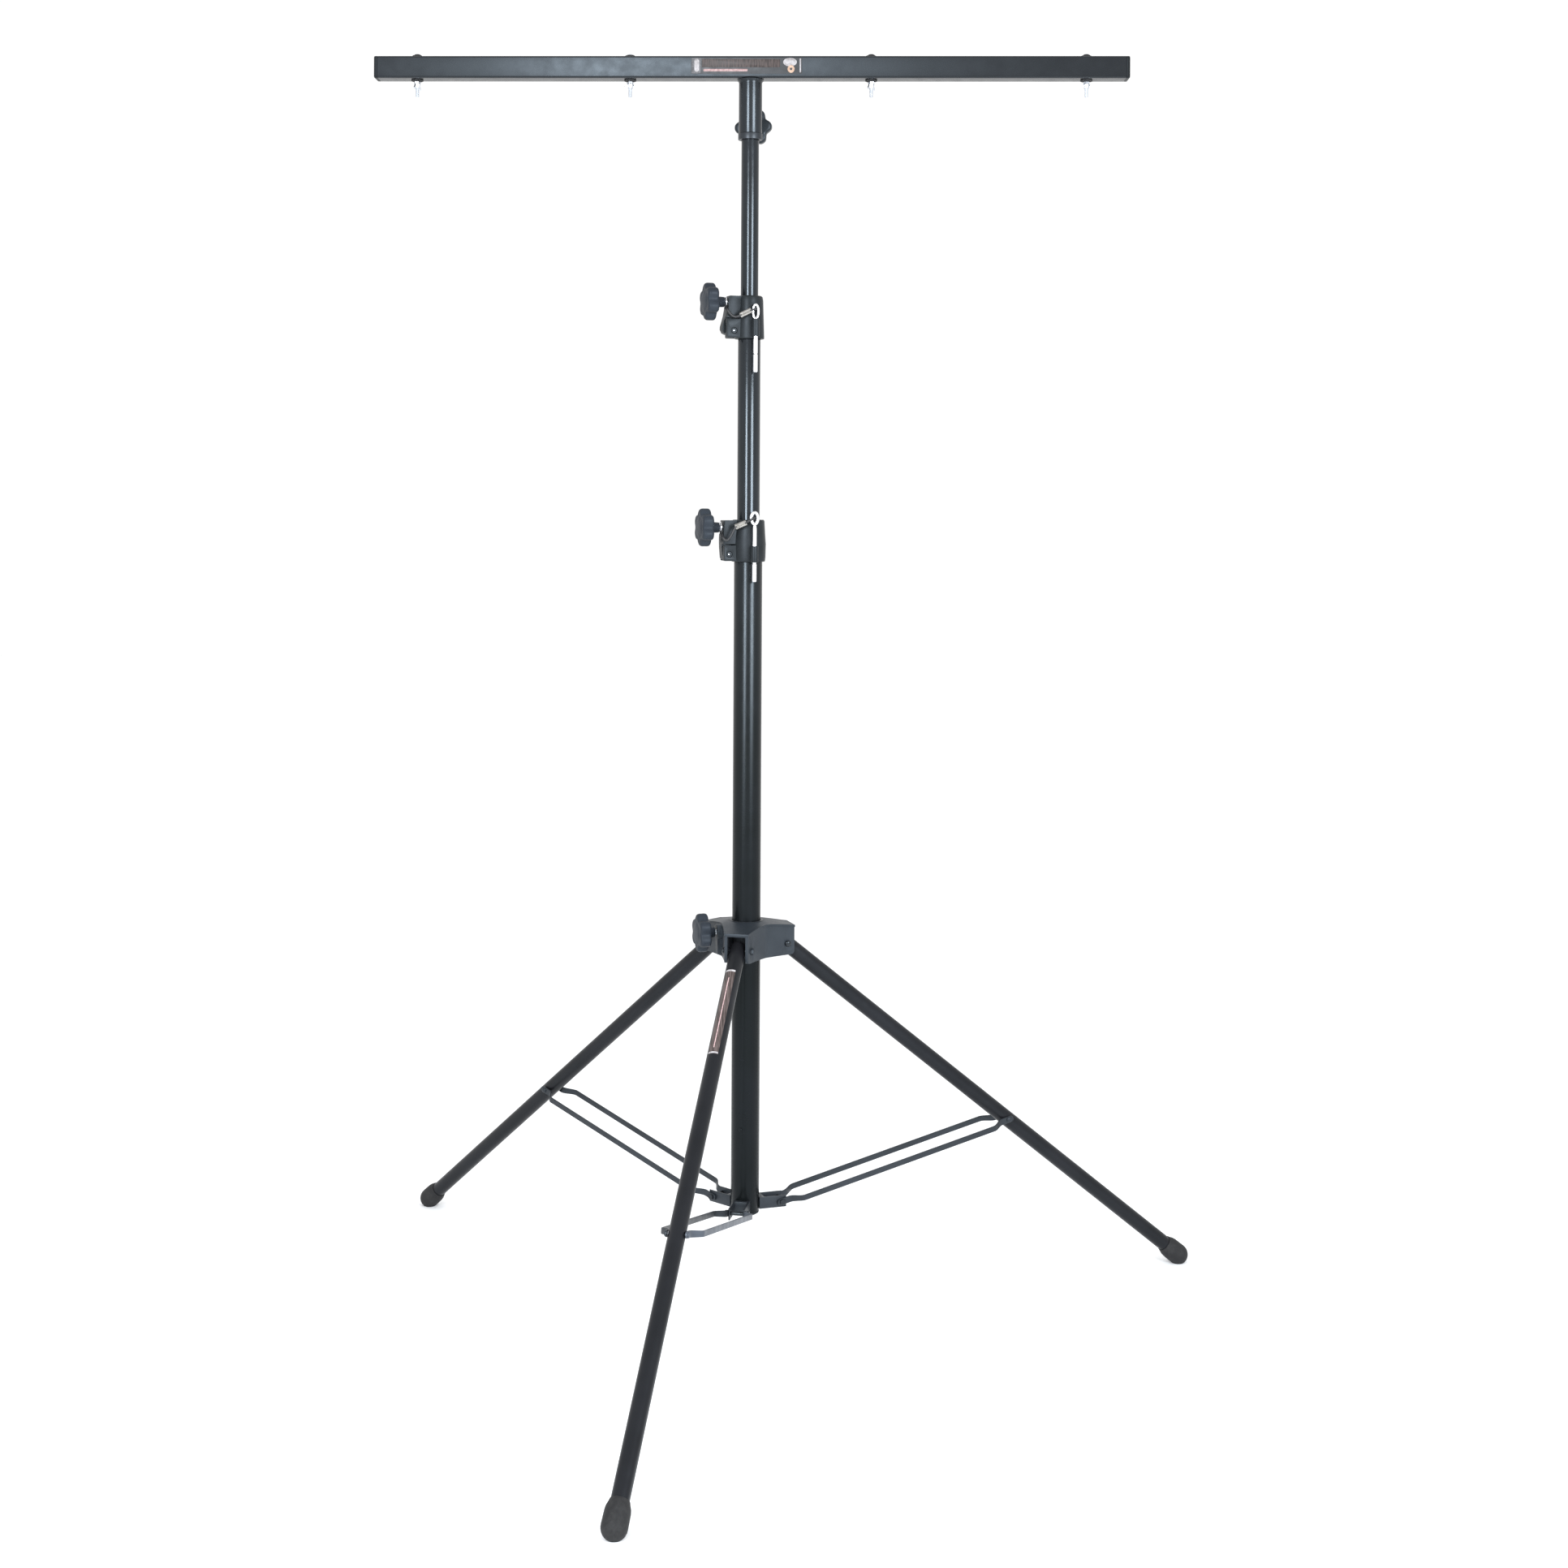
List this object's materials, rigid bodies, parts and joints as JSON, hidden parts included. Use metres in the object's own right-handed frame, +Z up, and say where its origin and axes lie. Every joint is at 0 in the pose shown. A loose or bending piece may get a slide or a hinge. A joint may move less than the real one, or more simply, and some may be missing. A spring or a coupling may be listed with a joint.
{
  "type": "lighting stand",
  "caption": "Tripod lighting stand with braced folding legs, two telescopic extensions locked by star-knob clamp collars, and a swivelling T-bar with lamp bolts.",
  "frame": {"origin": "on the floor, under the centre of the bounding box", "axes": "+Z up along the mast, X along the T-bar, -Y towards the front leg"},
  "size_m": [1.3512, 1.297, 2.0013],
  "materials": {
    "main_tube": "black semi-gloss powder coat",
    "mid_tube": "black semi-gloss powder coat",
    "top_tube": "black semi-gloss powder coat",
    "tbar": "black semi-gloss powder coat",
    "tbar_socket": "black semi-gloss powder coat",
    "mid_bush": "black nylon",
    "top_bush": "black nylon",
    "socket_insert": "black nylon",
    "mast_plug": "dark moulded plastic",
    "tbar_cap_left": "dark moulded plastic",
    "tbar_cap_right": "dark moulded plastic",
    "lower_collar": "dark moulded plastic",
    "upper_collar": "dark moulded plastic",
    "lower_flap": "dark moulded plastic",
    "upper_flap": "dark moulded plastic",
    "stop_rivet": "bright zinc plate",
    "lower_flap_bolt": "bright zinc plate",
    "upper_flap_bolt": "bright zinc plate",
    "lower_knob": "slate-grey moulded plastic",
    "upper_knob": "slate-grey moulded plastic",
    "hub_knob": "slate-grey moulded plastic",
    "socket_knob": "slate-grey moulded plastic",
    "hub_body": "slate-grey moulded plastic",
    "lower_pin": "polished steel",
    "upper_pin": "polished steel",
    "lower_tether": "black plastic-sheathed cord with crimped metal ferrule",
    "upper_tether": "black plastic-sheathed cord with crimped metal ferrule",
    "lamp_bolt_1": "bright zinc plate",
    "wing_nut_1": "bright zinc plate",
    "lamp_bolt_2": "bright zinc plate",
    "wing_nut_2": "bright zinc plate",
    "lamp_bolt_3": "bright zinc plate",
    "wing_nut_3": "bright zinc plate",
    "lamp_bolt_4": "bright zinc plate",
    "wing_nut_4": "bright zinc plate",
    "leg_front_tube": "black semi-gloss powder coat",
    "leg_front_foot": "matte black rubber",
    "leg_front_rivet": "bright zinc plate",
    "leg_front_pivot": "black semi-gloss powder coat",
    "brace_front_a": "grey-blue coat on flat steel bar",
    "brace_front_b": "grey-blue coat on flat steel bar",
    "clevis_front": "grey-blue coat on flat steel bar",
    "clevis_bolt_front": "black semi-gloss powder coat",
    "leg_right_tube": "black semi-gloss powder coat",
    "leg_right_foot": "matte black rubber",
    "leg_right_rivet": "bright zinc plate",
    "leg_right_pivot": "black semi-gloss powder coat",
    "brace_right_a": "grey-blue coat on flat steel bar",
    "brace_right_b": "grey-blue coat on flat steel bar",
    "clevis_right": "grey-blue coat on flat steel bar",
    "clevis_bolt_right": "black semi-gloss powder coat",
    "leg_left_tube": "black semi-gloss powder coat",
    "leg_left_foot": "matte black rubber",
    "leg_left_rivet": "bright zinc plate",
    "leg_left_pivot": "black semi-gloss powder coat",
    "brace_left_a": "grey-blue coat on flat steel bar",
    "brace_left_b": "grey-blue coat on flat steel bar",
    "clevis_left": "grey-blue coat on flat steel bar",
    "clevis_bolt_left": "black semi-gloss powder coat"
  },
  "bodies": {
    "mast": {"main_tube": "main_tube", "mast_plug": "mast_plug", "stop_rivet": "stop_rivet", "lower_collar": "lower_collar", "lower_flap": "lower_flap", "lower_flap_bolt": "lower_flap_bolt", "lower_tether": "lower_tether", "clevis_front": "clevis_front", "clevis_right": "clevis_right", "clevis_left": "clevis_left", "clevis_bolt_front": "clevis_bolt_front", "clevis_bolt_right": "clevis_bolt_right", "clevis_bolt_left": "clevis_bolt_left"},
    "hub": {"hub_body": "hub_body", "leg_front_pivot": "leg_front_pivot", "leg_right_pivot": "leg_right_pivot", "leg_left_pivot": "leg_left_pivot"},
    "mid": {"mid_tube": "mid_tube", "mid_bush": "mid_bush", "upper_collar": "upper_collar", "upper_flap": "upper_flap", "upper_flap_bolt": "upper_flap_bolt", "upper_tether": "upper_tether"},
    "top": {"top_tube": "top_tube", "top_bush": "top_bush"},
    "t_bar": {"tbar": "tbar", "tbar_cap_left": "tbar_cap_left", "tbar_cap_right": "tbar_cap_right", "tbar_socket": "tbar_socket", "socket_insert": "socket_insert", "lamp_bolt_1": "lamp_bolt_1", "lamp_bolt_2": "lamp_bolt_2", "lamp_bolt_3": "lamp_bolt_3", "lamp_bolt_4": "lamp_bolt_4"},
    "leg_front": {"leg_front_tube": "leg_front_tube", "leg_front_foot": "leg_front_foot", "leg_front_rivet": "leg_front_rivet"},
    "brace_front": {"brace_front_a": "brace_front_a", "brace_front_b": "brace_front_b"},
    "leg_right": {"leg_right_tube": "leg_right_tube", "leg_right_foot": "leg_right_foot", "leg_right_rivet": "leg_right_rivet"},
    "brace_right": {"brace_right_a": "brace_right_a", "brace_right_b": "brace_right_b"},
    "leg_left": {"leg_left_tube": "leg_left_tube", "leg_left_foot": "leg_left_foot", "leg_left_rivet": "leg_left_rivet"},
    "brace_left": {"brace_left_a": "brace_left_a", "brace_left_b": "brace_left_b"},
    "knob_lower": {"lower_knob": "lower_knob"},
    "knob_upper": {"upper_knob": "upper_knob"},
    "knob_hub": {"hub_knob": "hub_knob"},
    "knob_socket": {"socket_knob": "socket_knob"},
    "pin_lower": {"lower_pin": "lower_pin"},
    "pin_upper": {"upper_pin": "upper_pin"},
    "wing_1": {"wing_nut_1": "wing_nut_1"},
    "wing_2": {"wing_nut_2": "wing_nut_2"},
    "wing_3": {"wing_nut_3": "wing_nut_3"},
    "wing_4": {"wing_nut_4": "wing_nut_4"}
  },
  "joints": [
    {"name": "hub_slide", "type": "slide", "parent": "mast", "child": "hub", "axis": [0, 0, 1], "range_m": [0, 0.4927]},
    {"name": "leg_front_fold", "type": "hinge", "parent": "hub", "child": "leg_front", "pos_m": [-0.08205, 0.06748, 0.5863], "axis": [0.9832, -0.1824, 0], "range_deg": [0, 48.15]},
    {"name": "brace_front_fold", "type": "hinge", "parent": "mast", "child": "brace_front", "pos_m": [-0.08121, 0.072, 0.175], "axis": [-0.9832, 0.1824, 0], "range_deg": [0, 71.75]},
    {"name": "leg_right_fold", "type": "hinge", "parent": "hub", "child": "leg_right", "pos_m": [-0.01162, 0.14992, 0.5863], "axis": [-0.3336, 0.9427, 0], "range_deg": [0, 48.15]},
    {"name": "brace_right_fold", "type": "hinge", "parent": "mast", "child": "brace_right", "pos_m": [-0.01595, 0.14838, 0.175], "axis": [0.3336, -0.9427, 0], "range_deg": [0, 71.75]},
    {"name": "leg_left_fold", "type": "hinge", "parent": "hub", "child": "leg_left", "pos_m": [-0.11822, 0.1697, 0.5863], "axis": [-0.6496, -0.7603, 0], "range_deg": [0, 48.15]},
    {"name": "brace_left_fold", "type": "hinge", "parent": "mast", "child": "brace_left", "pos_m": [-0.11473, 0.16671, 0.175], "axis": [0.6496, 0.7603, 0], "range_deg": [0, 71.75]},
    {"name": "mid_slide", "type": "slide", "parent": "mast", "child": "mid", "axis": [0, 0, 1], "range_m": [-0.215, 0.57]},
    {"name": "top_slide", "type": "slide", "parent": "mid", "child": "top", "axis": [0, 0, 1], "range_m": [-0.24, 0.66]},
    {"name": "tbar_swivel", "type": "hinge", "parent": "top", "child": "t_bar", "pos_m": [-0.07063, 0.12903, 1.9], "axis": [0, 0, 1], "continuous": true},
    {"name": "lower_knob_turn", "type": "hinge", "parent": "mast", "child": "knob_lower", "pos_m": [-0.13662, 0.10568, 1.2474], "axis": [-0.9427, -0.3336, 0], "range_deg": [0, 720]},
    {"name": "upper_knob_turn", "type": "hinge", "parent": "mid", "child": "knob_upper", "pos_m": [-0.13191, 0.10734, 1.605], "axis": [-0.9427, -0.3336, 0], "range_deg": [0, 720]},
    {"name": "hub_knob_turn", "type": "hinge", "parent": "hub", "child": "knob_hub", "pos_m": [-0.14416, 0.10301, 0.607], "axis": [-0.9427, -0.3336, 0], "range_deg": [0, 720]},
    {"name": "socket_knob_turn", "type": "hinge", "parent": "t_bar", "child": "knob_socket", "pos_m": [-0.06679, 0.17286, 1.892], "axis": [0.0872, 0.9962, 0], "range_deg": [0, 720]},
    {"name": "wing_nut_1_turn", "type": "hinge", "parent": "t_bar", "child": "wing_1", "pos_m": [-0.60363, 0.12903, 1.95], "axis": [0, 0, -1], "range_deg": [0, 720]},
    {"name": "wing_nut_2_turn", "type": "hinge", "parent": "t_bar", "child": "wing_2", "pos_m": [-0.26263, 0.12903, 1.95], "axis": [0, 0, -1], "range_deg": [0, 720]},
    {"name": "wing_nut_3_turn", "type": "hinge", "parent": "t_bar", "child": "wing_3", "pos_m": [0.12137, 0.12903, 1.95], "axis": [0, 0, -1], "range_deg": [0, 720]},
    {"name": "wing_nut_4_turn", "type": "hinge", "parent": "t_bar", "child": "wing_4", "pos_m": [0.46237, 0.12903, 1.95], "axis": [0, 0, -1], "range_deg": [0, 720]},
    {"name": "lower_pin_lift", "type": "slide", "parent": "mast", "child": "pin_lower", "axis": [0, 0, 1], "range_m": [0, 0.1], "deforming": ["lower_tether"]},
    {"name": "upper_pin_lift", "type": "slide", "parent": "mid", "child": "pin_upper", "axis": [0, 0, 1], "range_m": [0, 0.1], "deforming": ["upper_tether"]}
  ],
  "couplings": [
    {"joint": "leg_front_fold", "follows": "hub_slide", "rad_per_m": 1.7055},
    {"joint": "brace_front_fold", "follows": "hub_slide", "rad_per_m": 2.5415},
    {"joint": "leg_right_fold", "follows": "hub_slide", "rad_per_m": 1.7055},
    {"joint": "brace_right_fold", "follows": "hub_slide", "rad_per_m": 2.5415},
    {"joint": "leg_left_fold", "follows": "hub_slide", "rad_per_m": 1.7055},
    {"joint": "brace_left_fold", "follows": "hub_slide", "rad_per_m": 2.5415}
  ]
}
